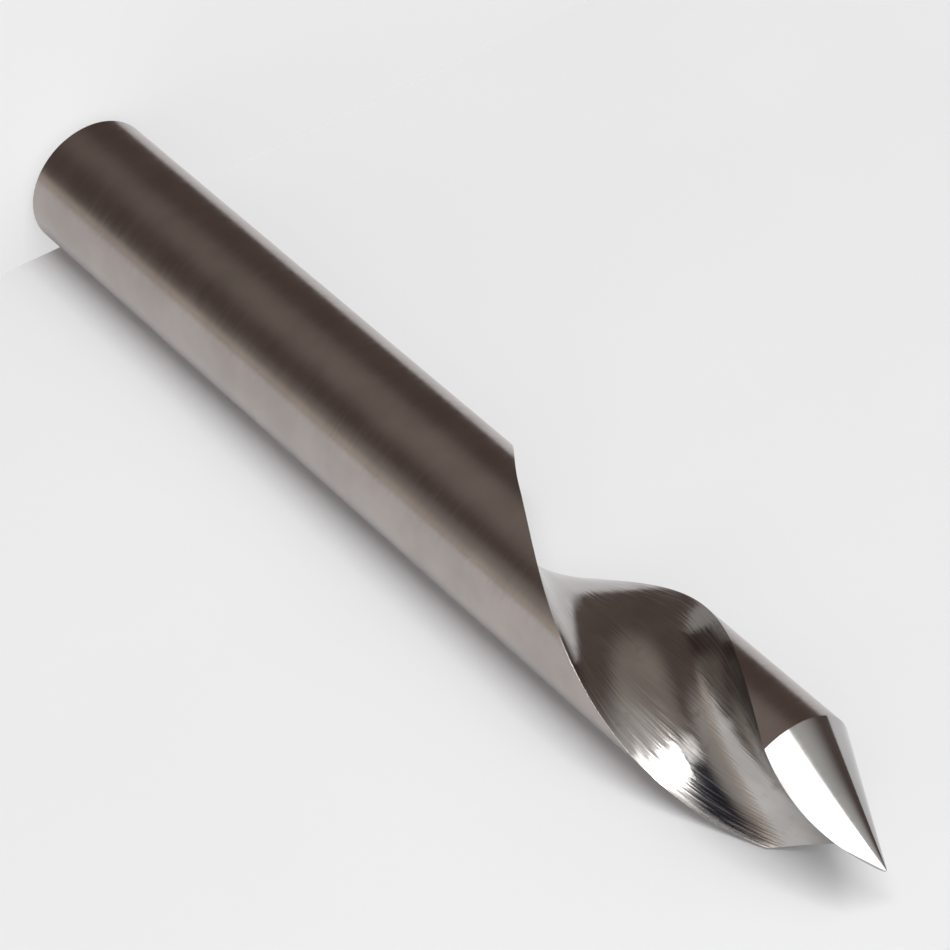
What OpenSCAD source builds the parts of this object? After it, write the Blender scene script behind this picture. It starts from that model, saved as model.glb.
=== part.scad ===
// Solid carbide drill bit: a straight round shank, one right-hand helical flute and a conical point.
// The bit stands on its flat shank end with the point up. Millimetres and degrees.
// The origin is the centre of the shank end, and +Z runs along the axis to the point.

/* [Blank] */
// Diameter of the shank, which is also the cutting diameter
shank_d = 6; // [4:0.5:12]
// Length from the shank end to the point
overall_length = 50; // [38:1:100]
// Width of the bevel round the shank end
end_chamfer = 0.4; // [0.1:0.05:1]
// Full angle of the conical point
point_angle = 60; // [40:1:120]
// Diameter of the small flat that blunts the very point
point_flat_d = 0.1; // [0.02:0.01:0.5]

/* [Flute] */
// Angle between the cutting edge and the axis
helix_angle = 30; // [15:1:45]
// Angle round the axis that the flute takes out of the shank's wall
flute_opening = 140; // [100:1:150]
// Length of the flute at its full depth, from the point
flute_length = 20.75; // [12:0.25:30]
// Length below its full depth over which the flute rises out of the shank
runout_length = 5.2; // [2:0.1:7]
// Height of the flute's floor above the axis, below zero where it is cut past the axis
floor_height = 0.08; // [-0.3:0.02:0.5]
// Skew of the flute's section, which flattens the side of the cutting edge and hollows the side of the heel
section_skew = 0.34; // [0:0.02:0.4]
// Direction round the axis of the cutting corner, where the cutting edge meets the point
corner_direction = 295.5; // [0:0.5:360]

/* [Hidden] */

// Blank
shank_r = shank_d / 2;
point_flat_r = point_flat_d / 2;
point_length = (shank_r - point_flat_r) / tan(point_angle / 2);
corner_z = overall_length - point_length;
blank_facets = 96;

// Helix, which turns to the right as it climbs
lead = PI * shank_d / tan(helix_angle);
turn_per_mm = 360 / lead;

// Lowest height at which the flute is at its full depth
full_depth_z = overall_length - flute_length;
// How far the flute has risen where it leaves the shank
exit_lift = shank_r - floor_height;
// How far the cut reaches past the surfaces of the blank
overcut = 0.6;
cut_start_z = full_depth_z - runout_length * sqrt(1 + overcut / exit_lift);
cut_end_z = overall_length + overcut;

// Fineness of the cut: rings along the axis and steps over the flute's floor
runout_rings = 14;
flute_rings = 48;
floor_steps = 32;

// Half of the chord between the flute's two edges, and the height of that chord above the axis
half_opening = flute_opening / 2;
half_chord = shank_r * sin(half_opening);
chord_height = shank_r * cos(half_opening);

// Height of the flute's floor above the axis at a place across the flute, positive towards the cutting edge
function floor_at(across) =
    let (u = across / half_chord)
    chord_height - (chord_height - floor_height) * (1 - u * u) * (1 - section_skew * u);

// Section of the cut, across the flute and outwards: its floor through both edges, closed outside the blank
cut_half = shank_r + overcut;
cut_top = max(shank_r, floor_at(-cut_half), floor_at(cut_half)) + overcut;
section = concat(
    [[-cut_half, cut_top]],
    [for (i = [0 : floor_steps])
        let (across = cut_half * (2 * i / floor_steps - 1))
        [across, floor_at(across)]],
    [[cut_half, cut_top]]
);

// Heights at which the flute's section is drawn, close together in the run-out
ring_heights = concat(
    [for (i = [0 : runout_rings - 1]) cut_start_z + (full_depth_z - cut_start_z) * i / runout_rings],
    [for (i = [0 : flute_rings]) full_depth_z + (cut_end_z - full_depth_z) * i / flute_rings]
);

// How far the whole section has moved outwards in the run-out
function lift(z) =
    let (below = max(0, full_depth_z - z) / runout_length)
    exit_lift * below * below;

// Direction of the middle of the flute at height z
function flute_direction(z) = corner_direction + half_opening + turn_per_mm * (z - corner_z);

// Points of one ring: the section moved outwards by the lift and turned to the flute's direction
function ring(z) =
    let (a = flute_direction(z), out = lift(z))
    [for (p = section)
        [p.x * sin(a) + (p.y + out) * cos(a), -p.x * cos(a) + (p.y + out) * sin(a), z]];

// Round blank with its end bevel and its conical point
module blank() {
    rotate_extrude($fn = blank_facets)
        polygon([
            [0, 0],
            [shank_r - end_chamfer, 0],
            [shank_r, end_chamfer],
            [shank_r, corner_z],
            [point_flat_r, overall_length],
            [0, overall_length]
        ]);
}

// Helical cut of the flute, lofted through the rings
module flute_cut() {
    rings = [for (z = ring_heights) ring(z)];
    size = len(rings[0]);
    last = len(rings) - 1;
    sides = [
        for (k = [0 : last - 1], j = [0 : size - 1])
            let (a = k * size + j, b = k * size + (j + 1) % size)
            each [[a, a + size, b], [b, a + size, b + size]]
    ];
    ends = [
        [for (j = [0 : size - 1]) j],
        [for (j = [size - 1 : -1 : 0]) last * size + j]
    ];
    polyhedron(points = [for (r = rings) each r], faces = concat(sides, ends), convexity = 6);
}

module drill_bit() {
    color([0.45, 0.43, 0.42])
        difference() {
            blank();
            flute_cut();
        }
}

drill_bit();
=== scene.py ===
import math

import bpy
import numpy as np
from mathutils import Matrix, Vector


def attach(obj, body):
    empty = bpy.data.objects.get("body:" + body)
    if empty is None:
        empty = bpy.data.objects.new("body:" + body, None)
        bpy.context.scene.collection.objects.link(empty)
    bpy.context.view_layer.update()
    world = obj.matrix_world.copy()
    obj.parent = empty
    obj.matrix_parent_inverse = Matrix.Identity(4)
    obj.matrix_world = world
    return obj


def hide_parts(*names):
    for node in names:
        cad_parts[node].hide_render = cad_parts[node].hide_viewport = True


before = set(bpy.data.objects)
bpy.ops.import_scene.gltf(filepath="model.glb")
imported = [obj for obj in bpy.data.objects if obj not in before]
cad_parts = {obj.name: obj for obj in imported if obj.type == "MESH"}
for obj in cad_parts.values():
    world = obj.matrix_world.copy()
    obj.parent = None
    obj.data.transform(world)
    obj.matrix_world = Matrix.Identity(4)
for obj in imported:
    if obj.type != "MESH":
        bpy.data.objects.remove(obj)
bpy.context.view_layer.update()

MM = 0.001

# Sizes of the bit, the same as in the CAD, in millimetres and degrees
SHANK_R = 3.0
OVERALL_LENGTH = 50.0
END_CHAMFER = 0.4
POINT_ANGLE = 60.0
POINT_FLAT_R = 0.05
HELIX_ANGLE = 30.0
FLUTE_OPENING = 140.0
FLUTE_LENGTH = 20.75
RUNOUT_LENGTH = 5.2
FLOOR_HEIGHT = 0.08
SECTION_SKEW = 0.34
CORNER_DIRECTION = 295.5

# Sizes that follow from them
POINT_SLOPE = math.tan(math.radians(POINT_ANGLE / 2))
CORNER_Z = OVERALL_LENGTH - (SHANK_R - POINT_FLAT_R) / POINT_SLOPE
LEAD = 2 * math.pi * SHANK_R / math.tan(math.radians(HELIX_ANGLE))
FULL_DEPTH_Z = OVERALL_LENGTH - FLUTE_LENGTH
HALF_OPENING = math.radians(FLUTE_OPENING / 2)
HALF_CHORD = SHANK_R * math.sin(HALF_OPENING)
CHORD_HEIGHT = SHANK_R * math.cos(HALF_OPENING)

# Columns of the mesh over the flute's floor, round the land and over each rounded edge
FLOOR_COLUMNS = 64
LAND_COLUMNS = 144
EDGE_COLUMNS = 4
# How far the rounding of the flute's two edges reaches on each side of them
EDGE_REACH = 0.022
# Rings of the mesh in the shank, the run-out, the full flute, the fluted point and the very tip
SHANK_RINGS = 16
RUNOUT_RINGS = 64
FLUTE_RINGS = 150
POINT_RINGS = 56
TIP_RINGS = 3

# Materials of the bit, in the order of their slots
LAND, FLUTE, POINT = range(3)

# Camera of the photograph, in metres
CAMERA_PLACE = Vector((0.058928, -0.089749, 0.101328))
CAMERA_TARGET = Vector((0, -0.00208, 0.02703))
CAMERA_UP = Vector((0, -1, 0))
CAMERA_LENS = 128.0

# The photograph's table is an upright card that touches the bit's back
CARD_Y = 0.003
CARD_HALF = 0.8
FLOOR_HALF = 1.5
CARD_COLOR = (0.82, 0.833, 0.855)
FLOOR_COLOR = (0.50, 0.505, 0.51)
# Part of the floor's paleness that its shading leaves as it is
FLOOR_GLOW = (0.475, 0.48, 0.49)

# Softboxes: azimuth from +Z, elevation above the card and roll in degrees, width, height and radiance
SOFTBOXES = {
    "softbox_front": (31.0, 42.5, 47.0, 1.90, 0.17, 2.7),
    "softbox_top": (19.5, 72.0, -4.0, 0.50, 0.09, 19.0),
    "softbox_side": (90.0, 51.0, 60.5, 0.28, 0.10, 1.5),
}
SOFTBOX_DISTANCE = 0.7

# The dim, warm room: its colour, and the lighter and darker places in it
ROOM_COLOR = (0.125, 0.094, 0.085)
CEILING_COLOR = (0.31, 0.27, 0.24)
SIDE_COLOR = (0.45, 0.42, 0.40)
SIDE_AZIMUTH = 102.0
SIDE_ELEVATION = 8.0
WALL_COLOR = (0.62, 0.56, 0.50)
GLOW_COLOR = (0.70, 0.69, 0.67)
GLOW_AZIMUTH = -19.0
GLOW_ELEVATION = 40.0
GAP_COLOR = (0.02, 0.02, 0.03)
GAP_AZIMUTH = 68.0
GAP_ELEVATION = 46.0


def blank_radius(z):
    """Radius of the round blank at height z."""
    if z < END_CHAMFER:
        return SHANK_R - END_CHAMFER + z
    return SHANK_R - max(0.0, z - CORNER_Z) * POINT_SLOPE


def blank_rise(z):
    """Angle of the blank's surface normal above the horizontal, in radians."""
    if z < END_CHAMFER:
        return -math.pi / 4
    if z < CORNER_Z:
        return 0.0
    return math.radians(POINT_ANGLE / 2)


def floor_at(across, z):
    """Height of the flute's floor above the axis, at a place across the flute."""
    u = across / HALF_CHORD
    depth = (CHORD_HEIGHT - FLOOR_HEIGHT) * (1 - u**2) * (1 - SECTION_SKEW * u)
    below = max(0.0, FULL_DEPTH_Z - z) / RUNOUT_LENGTH
    return CHORD_HEIGHT - depth + (SHANK_R - FLOOR_HEIGHT) * below**2


def depth_at(across, z):
    """How far the floor lies below the blank's surface, and below zero where it is outside."""
    surface = math.sqrt(max(0.0, blank_radius(z) ** 2 - across**2))
    return surface - floor_at(across, z)


def deepest(z):
    """Place across the flute where it is deepest at height z."""
    low, high = -blank_radius(z), blank_radius(z)
    for _ in range(60):
        third = (high - low) / 3
        if depth_at(low + third, z) < depth_at(high - third, z):
            low += third
        else:
            high -= third
    return low


def root(value, below, above):
    """Place between the two where value passes zero, below it at one and above it at the other."""
    for _ in range(50):
        middle = (below + above) / 2
        if value(middle) < 0:
            below = middle
        else:
            above = middle
    return middle


def flute_depth(z):
    return depth_at(deepest(z), z)


# Heights at which the flute leaves the shank and the point
EXIT_Z = root(flute_depth, FULL_DEPTH_Z - 1.2 * RUNOUT_LENGTH, FULL_DEPTH_Z)
TIP_EXIT_Z = root(flute_depth, OVERALL_LENGTH, CORNER_Z)


def flute_direction(z):
    """Direction of the middle of the flute, in radians. It turns to the right as it climbs."""
    corner = math.radians(CORNER_DIRECTION) + HALF_OPENING
    return corner + 2 * math.pi * (z - CORNER_Z) / LEAD


def turned(points, z):
    """Points across and along the flute's direction, turned into the bit's own X and Y."""
    a = flute_direction(z)
    across, out = points[:, 0], points[:, 1]
    x = across * math.sin(a) + out * math.cos(a)
    y = out * math.sin(a) - across * math.cos(a)
    return np.column_stack([x, y, np.full(len(points), z)])


def unit(vectors):
    return vectors / np.linalg.norm(vectors, axis=1)[:, None]


def height_over_floor(points):
    """How far points are out of the carbide at the flute's floor, measured outwards."""
    heights = []
    for x, y, z in points:
        a = flute_direction(z)
        across = x * math.sin(a) - y * math.cos(a)
        heights.append(x * math.cos(a) + y * math.sin(a) - floor_at(across, z))
    return np.array(heights)


def floor_normals(points):
    """Normals of the flute's floor, pointing out of the carbide."""
    step = 1e-4
    slopes = [
        height_over_floor(points + step * axis)
        - height_over_floor(points - step * axis)
        for axis in np.eye(3)
    ]
    return unit(np.column_stack(slopes))


def blank_normals(points, rise):
    """Normals of the turned blank, with rise their angle above the horizontal."""
    a = np.arctan2(points[:, 1], points[:, 0])
    up = np.full(len(points), math.sin(rise))
    return np.column_stack([math.cos(rise) * np.cos(a), math.cos(rise) * np.sin(a), up])


def ring_heights():
    """Heights of the mesh's rings, close together where the flute runs out."""
    runout = FULL_DEPTH_Z - EXIT_Z
    point = TIP_EXIT_Z - CORNER_Z
    return np.concatenate(
        [
            [0.0],
            np.linspace(END_CHAMFER, EXIT_Z, SHANK_RINGS)[:-1],
            EXIT_Z + runout * np.linspace(0, 1, RUNOUT_RINGS)[:-1] ** 2,
            np.linspace(FULL_DEPTH_Z, CORNER_Z, FLUTE_RINGS)[:-1],
            TIP_EXIT_Z - point * np.linspace(1, 0, POINT_RINGS) ** 2,
            np.linspace(TIP_EXIT_Z, OVERALL_LENGTH, TIP_RINGS)[1:],
        ]
    )


def on_circle(angles, radius):
    """Points at angles from the flute's direction towards the cutting edge."""
    return radius * np.column_stack([np.sin(angles), np.cos(angles)])


def round_ring(z):
    """A ring that the flute doesn't reach. The floor and both edges lie in one place on it."""
    exit_z = min(max(z, EXIT_Z), TIP_EXIT_Z)
    start = math.asin(deepest(exit_z) / blank_radius(exit_z))
    start += flute_direction(z) - flute_direction(exit_z)
    angles = start + np.linspace(0, 2 * math.pi, LAND_COLUMNS + 1)
    land = on_circle(angles, blank_radius(z))
    floor = np.repeat(land[:1], FLOOR_COLUMNS + 1, axis=0)
    edge = np.repeat(land[:1], EDGE_COLUMNS - 1, axis=0)
    return floor, edge, land, edge


def edge_corner(z, side):
    """Where the floor meets the blank: at the cutting edge with side 1, at the heel with side -1."""
    across = root(lambda x: depth_at(x, z), side * blank_radius(z), deepest(z))
    return np.array([across, floor_at(across, z)])


def floor_end(corner, z, reach):
    """Place across the floor that lies reach before its corner."""
    step = math.copysign(reach, corner[0] - deepest(z))
    rise = floor_at(corner[0], z) - floor_at(corner[0] - step, z)
    return corner[0] - step / math.hypot(1, rise / reach)


def rounded_edge(start, corner, end):
    """Points between start and end, on a curve that is drawn towards the corner."""
    t = np.linspace(0, 1, EDGE_COLUMNS + 1)[1:-1, None]
    return (1 - t) ** 2 * start + 2 * t * (1 - t) * corner + t**2 * end


def fluted_ring(z):
    """A ring with the flute: its floor, the cutting edge, the land and the heel."""
    radius = blank_radius(z)
    cutting, heel = edge_corner(z, 1), edge_corner(z, -1)
    reach = min(EDGE_REACH, 0.15 * (cutting[0] - heel[0]))
    across = np.linspace(
        floor_end(heel, z, reach), floor_end(cutting, z, reach), FLOOR_COLUMNS + 1
    )
    floor = np.column_stack([across, floor_at(across, z)])
    first = math.atan2(*cutting) + reach / radius
    last = math.atan2(*heel) - reach / radius + 2 * math.pi
    land = on_circle(np.linspace(first, last, LAND_COLUMNS + 1), radius)
    cutting_edge = rounded_edge(floor[-1], cutting, land[0])
    heel_edge = rounded_edge(land[-1], heel, floor[0])
    return floor, cutting_edge, land, heel_edge


def ring(z):
    fluted = EXIT_Z + 1e-6 < z < TIP_EXIT_Z - 1e-6
    parts = fluted_ring(z) if fluted else round_ring(z)
    return turned(np.concatenate(parts), z)


def between(start, end):
    """Unit vectors that turn from start to end over a rounded edge."""
    t = np.linspace(0, 1, EDGE_COLUMNS + 1)[1:-1, None]
    return unit((1 - t) * start + t * end)


def ring_normals(points, rise):
    """Normals of a ring's points, as the faces on one side of it see them."""
    land_start = FLOOR_COLUMNS + EDGE_COLUMNS
    land_end = land_start + LAND_COLUMNS
    floor = floor_normals(points[: FLOOR_COLUMNS + 1])
    land = blank_normals(points[land_start : land_end + 1], rise)
    cutting_edge = between(floor[-1], land[0])
    heel = between(land[-1], floor[0])
    return np.concatenate([floor, cutting_edge, land, heel])


def column_material(column, z):
    if column < FLOOR_COLUMNS:
        return FLUTE
    return POINT if z > CORNER_Z else LAND


def strip_faces(low, high, low_ids, high_ids):
    """Faces between two rings, with their corners' normals and their materials."""
    middle = (low[0, 2] + high[0, 2]) / 2
    rise = blank_rise(middle)
    low_normals = ring_normals(low, rise)
    high_normals = ring_normals(high, rise)
    faces = []
    for j in range(len(low)):
        k = (j + 1) % len(low)
        corners = [
            (low_ids[k], low_normals[k]),
            (low_ids[j], low_normals[j]),
            (high_ids[j], high_normals[j]),
            (high_ids[k], high_normals[k]),
        ]
        faces.append((distinct(corners), column_material(j, middle)))
    return [face for face in faces if len(face[0]) > 2]


def distinct(corners):
    """Corners without those that lie on the one before them."""
    return [c for i, c in enumerate(corners) if c[0] != corners[i - 1][0]]


def cap_faces(ids, centre_id, up, material):
    """Flat faces from a ring to a point in its middle."""
    normal = np.array([0.0, 0.0, 1.0 if up else -1.0])
    faces = []
    for j in range(len(ids)):
        k = (j + 1) % len(ids)
        corners = [ids[k], ids[j]] if up else [ids[j], ids[k]]
        if ids[j] != ids[k]:
            faces.append(([(i, normal) for i in [*corners, centre_id]], material))
    return faces


def bit_surface():
    """Vertices of the whole bit, and its faces as (corners with normals, material)."""
    rings = [ring(z) for z in ring_heights()]
    ends = np.array([[0, 0, 0], [0, 0, OVERALL_LENGTH]])
    points = np.concatenate([*rings, ends])
    vertices, ids = np.unique(points.round(7), axis=0, return_inverse=True)
    ids = ids.reshape(-1)
    ring_ids = ids[:-2].reshape(len(rings), -1)
    faces = cap_faces(ring_ids[0], ids[-2], False, LAND)
    for k in range(len(rings) - 1):
        faces += strip_faces(rings[k], rings[k + 1], ring_ids[k], ring_ids[k + 1])
    faces += cap_faces(ring_ids[-1], ids[-1], True, POINT)
    return vertices, faces


def lay_of_flute(vertices):
    """Place of each vertex across the flute and along its helix, in millimetres."""
    lay = []
    for x, y, z in vertices:
        a = flute_direction(z)
        across = x * math.sin(a) - y * math.cos(a)
        lay.append((across, z / math.cos(math.radians(HELIX_ANGLE)), 0.0))
    return np.array(lay)


def make_bit(materials):
    """The bit as one fine mesh in the place of the CAD's solid."""
    vertices, faces = bit_surface()
    mesh = bpy.data.meshes.new("carbide_bit")
    mesh.from_pydata(
        (vertices * MM).tolist(), [], [[c[0] for c in f[0]] for f in faces]
    )
    for material in materials:
        mesh.materials.append(material)
    mesh.polygons.foreach_set("material_index", [f[1] for f in faces])
    mesh.polygons.foreach_set("use_smooth", [True] * len(faces))
    mesh.normals_split_custom_set([c[1].tolist() for f in faces for c in f[0]])
    lay = mesh.attributes.new("flute_lay", "FLOAT_VECTOR", "POINT")
    lay.data.foreach_set("vector", lay_of_flute(vertices).ravel())
    bit = bpy.data.objects.new("carbide_bit", mesh)
    bpy.context.scene.collection.objects.link(bit)
    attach(bit, "root")
    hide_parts("drill_bit")
    return bit


def calculated(tree, operation, first, second):
    """Result of a maths operation on two values."""
    node = tree.nodes.new("ShaderNodeMath")
    node.operation = operation
    tree.links.new(first, node.inputs[0])
    tree.links.new(second, node.inputs[1])
    return node.outputs["Value"]


def new_material(name, roughness):
    """A material with a metallic shader, its node tree and the shader node."""
    material = bpy.data.materials.new(name)
    material.use_nodes = True
    tree = material.node_tree
    shader = tree.nodes["Principled BSDF"]
    shader.inputs["Metallic"].default_value = 1.0
    shader.inputs["Roughness"].default_value = roughness
    return material, tree, shader


def noise(tree, source, scale, stretch, detail=2.0):
    """Noise over coordinates that are stretched by a factor along each axis."""
    mapping = tree.nodes.new("ShaderNodeMapping")
    mapping.inputs["Scale"].default_value = stretch
    tree.links.new(source, mapping.inputs["Vector"])
    node = tree.nodes.new("ShaderNodeTexNoise")
    node.inputs["Scale"].default_value = scale
    node.inputs["Detail"].default_value = detail
    tree.links.new(mapping.outputs["Vector"], node.inputs["Vector"])
    return node.outputs["Fac"]


def spread(tree, value, start, end, low=0.0, high=1.0):
    """A value's range from start to end, spread smoothly from low to high."""
    node = tree.nodes.new("ShaderNodeMapRange")
    node.interpolation_type = "SMOOTHSTEP"
    node.inputs["From Min"].default_value = start
    node.inputs["From Max"].default_value = end
    node.inputs["To Min"].default_value = low
    node.inputs["To Max"].default_value = high
    tree.links.new(value, node.inputs["Value"])
    return node.outputs["Result"]


def mixed(tree, factor, first, second):
    """Colour that goes from the first to the second as factor goes from 0 to 1."""
    node = tree.nodes.new("ShaderNodeMix")
    node.data_type = "RGBA"
    tree.links.new(factor, node.inputs["Factor"])
    for name, color in (("A", first), ("B", second)):
        if isinstance(color, bpy.types.NodeSocket):
            tree.links.new(color, node.inputs[name])
        else:
            node.inputs[name].default_value = (*color, 1)
    return node.outputs["Result"]


def relief(tree, shader, value, depth):
    """Grinding lines as a bump of that depth in metres."""
    node = tree.nodes.new("ShaderNodeBump")
    node.inputs["Strength"].default_value = 1.0
    node.inputs["Distance"].default_value = depth
    tree.links.new(value, node.inputs["Height"])
    tree.links.new(node.outputs["Normal"], shader.inputs["Normal"])


def object_coordinates(tree):
    return tree.nodes.new("ShaderNodeTexCoord").outputs["Object"]


def land_material():
    """Centreless-ground carbide: fine lines round the axis and a faint mottle."""
    material, tree, shader = new_material("ground_land", 0.2)
    place = object_coordinates(tree)
    lines = noise(tree, place, 1 / MM, (0.4, 0.4, 9), 3)
    mottle = noise(tree, place, 0.5 / MM, (1, 1, 1), 3)
    color = mixed(
        tree, spread(tree, mottle, 0.3, 0.7), (0.38, 0.343, 0.325), (0.43, 0.39, 0.367)
    )
    tree.links.new(color, shader.inputs["Base Color"])
    tree.links.new(
        spread(tree, lines, 0.3, 0.7, 0.16, 0.24), shader.inputs["Roughness"]
    )
    relief(tree, shader, lines, 0.0000012)
    return material


def flute_material():
    """Carbide ground along the flute by a coarser wheel, with lines that follow the helix."""
    material, tree, shader = new_material("ground_flute", 0.25)
    attribute = tree.nodes.new("ShaderNodeAttribute")
    attribute.attribute_name = "flute_lay"
    place = attribute.outputs["Vector"]
    lines = noise(tree, place, 1.0, (12, 0.35, 1), 3)
    mottle = noise(tree, place, 0.8, (1, 0.5, 1), 3)
    stain = noise(tree, place, 1.3, (1, 0.7, 1), 4)
    color = mixed(
        tree, spread(tree, mottle, 0.3, 0.7), (0.43, 0.41, 0.395), (0.50, 0.485, 0.47)
    )
    color = mixed(tree, spread(tree, stain, 0.58, 0.80), color, (0.36, 0.31, 0.28))
    tree.links.new(color, shader.inputs["Base Color"])
    tree.links.new(
        spread(tree, lines, 0.3, 0.7, 0.08, 0.22), shader.inputs["Roughness"]
    )
    relief(tree, shader, lines, 0.000006)
    return material


def point_material():
    """The finely ground cone of the point, close to a mirror."""
    material, tree, shader = new_material("ground_point", 0.08)
    place = object_coordinates(tree)
    lines = noise(tree, place, 1 / MM, (0.5, 0.5, 12), 2)
    mottle = noise(tree, place, 0.6 / MM, (1, 1, 1), 2)
    color = mixed(
        tree, spread(tree, mottle, 0.3, 0.7), (0.42, 0.415, 0.41), (0.48, 0.475, 0.47)
    )
    tree.links.new(color, shader.inputs["Base Color"])
    tree.links.new(
        spread(tree, lines, 0.3, 0.7, 0.09, 0.12), shader.inputs["Roughness"]
    )
    return material


def matte_material(name, color, one_sided=False):
    """A pale matte surface with a faint mottle. A one-sided one is clear from behind."""
    material = bpy.data.materials.new(name)
    material.use_nodes = True
    tree = material.node_tree
    shader = tree.nodes["Principled BSDF"]
    shader.inputs["Roughness"].default_value = 0.9
    shader.inputs["Specular IOR Level"].default_value = 0.0
    mottle = noise(tree, object_coordinates(tree), 60, (1, 1, 1), 2)
    dark = [c * 0.985 for c in color]
    shade = mixed(tree, spread(tree, mottle, 0.3, 0.7), dark, color)
    tree.links.new(shade, shader.inputs["Base Color"])
    if one_sided:
        output = tree.nodes["Material Output"]
        geometry = tree.nodes.new("ShaderNodeNewGeometry")
        clear = tree.nodes.new("ShaderNodeBsdfTransparent")
        mix = tree.nodes.new("ShaderNodeMixShader")
        tree.links.new(geometry.outputs["Backfacing"], mix.inputs["Fac"])
        tree.links.new(shader.outputs["BSDF"], mix.inputs[1])
        tree.links.new(clear.outputs["BSDF"], mix.inputs[2])
        tree.links.new(mix.outputs["Shader"], output.inputs["Surface"])
    return material


def add_glow(material, color):
    """Lets a surface show a plain colour, directly or in mirrors and glass, besides its shading."""
    tree = material.node_tree
    shader = tree.nodes["Principled BSDF"]
    path = tree.nodes.new("ShaderNodeLightPath").outputs
    seen = calculated(tree, "MAXIMUM", path["Is Camera Ray"], path["Is Glossy Ray"])
    seen = calculated(tree, "MAXIMUM", seen, path["Is Transmission Ray"])
    shader.inputs["Emission Color"].default_value = (*color, 1)
    tree.links.new(seen, shader.inputs["Emission Strength"])


def stage_plane(name, corners, material):
    mesh = bpy.data.meshes.new(name)
    mesh.from_pydata(corners, [], [range(4)])
    mesh.materials.append(material)
    plane = bpy.data.objects.new(name, mesh)
    bpy.context.scene.collection.objects.link(plane)
    plane.visible_diffuse = False
    return plane


def make_floor():
    """The floor that the bit stands on. The bit's mirror shows the room and the card instead."""
    h = FLOOR_HALF
    corners = [(-h, -h, 0), (h, -h, 0), (h, h, 0), (-h, h, 0)]
    material = matte_material("pale_floor", FLOOR_COLOR)
    add_glow(material, FLOOR_GLOW)
    floor = stage_plane("floor", corners, material)
    floor.visible_glossy = False
    floor.visible_shadow = False


def make_card():
    """The photograph's table, as an upright card beside the standing bit. It faces -Y."""
    h, y = CARD_HALF, CARD_Y
    corners = [(-h, y, -h), (h, y, -h), (h, y, h), (-h, y, h)]
    material = matte_material("pale_card", CARD_COLOR, one_sided=True)
    stage_plane("card", corners, material)


def seen_from_card(azimuth, elevation):
    """Direction with an azimuth from +Z towards +X and an elevation above the card."""
    a, e = math.radians(azimuth), math.radians(elevation)
    return Vector((math.cos(e) * math.sin(a), -math.sin(e), math.cos(e) * math.cos(a)))


def make_softbox(name, azimuth, elevation, roll, width, height, radiance):
    middle = Vector((0, 0, OVERALL_LENGTH * MM / 2))
    place = middle + seen_from_card(azimuth, elevation) * SOFTBOX_DISTANCE
    light = bpy.data.lights.new(name, "AREA")
    light.shape = "RECTANGLE"
    light.size, light.size_y = width, height
    light.energy = radiance * math.pi * width * height
    lamp = bpy.data.objects.new(name, light)
    turn = Matrix.Rotation(math.radians(roll), 4, "Z")
    lamp.matrix_world = looking(place, middle, CAMERA_UP) @ turn
    lamp.visible_camera = False
    bpy.context.scene.collection.objects.link(lamp)


def facing(tree, direction, azimuth, elevation):
    """How far a direction of the room faces one that is seen from the card, up to 1."""
    towards = tree.nodes.new("ShaderNodeVectorMath")
    towards.operation = "DOT_PRODUCT"
    towards.inputs[1].default_value = seen_from_card(azimuth, elevation)
    tree.links.new(direction, towards.inputs[0])
    return towards.outputs["Value"]


def make_room():
    """The dim, warm room that fills the dark parts of the mirror."""
    world = bpy.data.worlds.new("room")
    world.use_nodes = True
    tree = world.node_tree
    direction = tree.nodes.new("ShaderNodeTexCoord").outputs["Generated"]
    height = facing(tree, direction, 0, 90)
    color = mixed(tree, spread(tree, height, 0.6, 0.87), ROOM_COLOR, CEILING_COLOR)
    glow = facing(tree, direction, GLOW_AZIMUTH, GLOW_ELEVATION)
    color = mixed(tree, spread(tree, glow, 0.5, 1.0), color, GLOW_COLOR)
    gap = facing(tree, direction, GAP_AZIMUTH, GAP_ELEVATION)
    color = mixed(tree, spread(tree, gap, 0.89, 0.98), color, GAP_COLOR)
    side = facing(tree, direction, SIDE_AZIMUTH, SIDE_ELEVATION)
    color = mixed(tree, spread(tree, side, 0.80, 0.97), color, SIDE_COLOR)
    wall = calculated(
        tree,
        "MULTIPLY",
        spread(tree, height, 0.24, 0.10),
        spread(tree, facing(tree, direction, 90, 0), 0.2, 0.4),
    )
    color = mixed(tree, wall, color, WALL_COLOR)
    tree.links.new(color, tree.nodes["Background"].inputs["Color"])
    bpy.context.scene.world = world


def looking(place, target, up):
    """Matrix of a camera or lamp at place that faces target, with up towards its top."""
    back = (place - target).normalized()
    right = up.cross(back).normalized()
    turn = Matrix((right, back.cross(right), back)).transposed()
    return Matrix.Translation(place) @ turn.to_4x4()


def make_camera():
    data = bpy.data.cameras.new("camera")
    data.lens = CAMERA_LENS
    data.clip_start = 0.01
    camera = bpy.data.objects.new("camera", data)
    camera.matrix_world = looking(CAMERA_PLACE, CAMERA_TARGET, CAMERA_UP)
    bpy.context.scene.collection.objects.link(camera)
    bpy.context.scene.camera = camera


bpy.context.scene.view_settings.view_transform = "Standard"
make_bit([land_material(), flute_material(), point_material()])
make_floor()
make_card()
for name, values in SOFTBOXES.items():
    make_softbox(name, *values)
make_room()
make_camera()
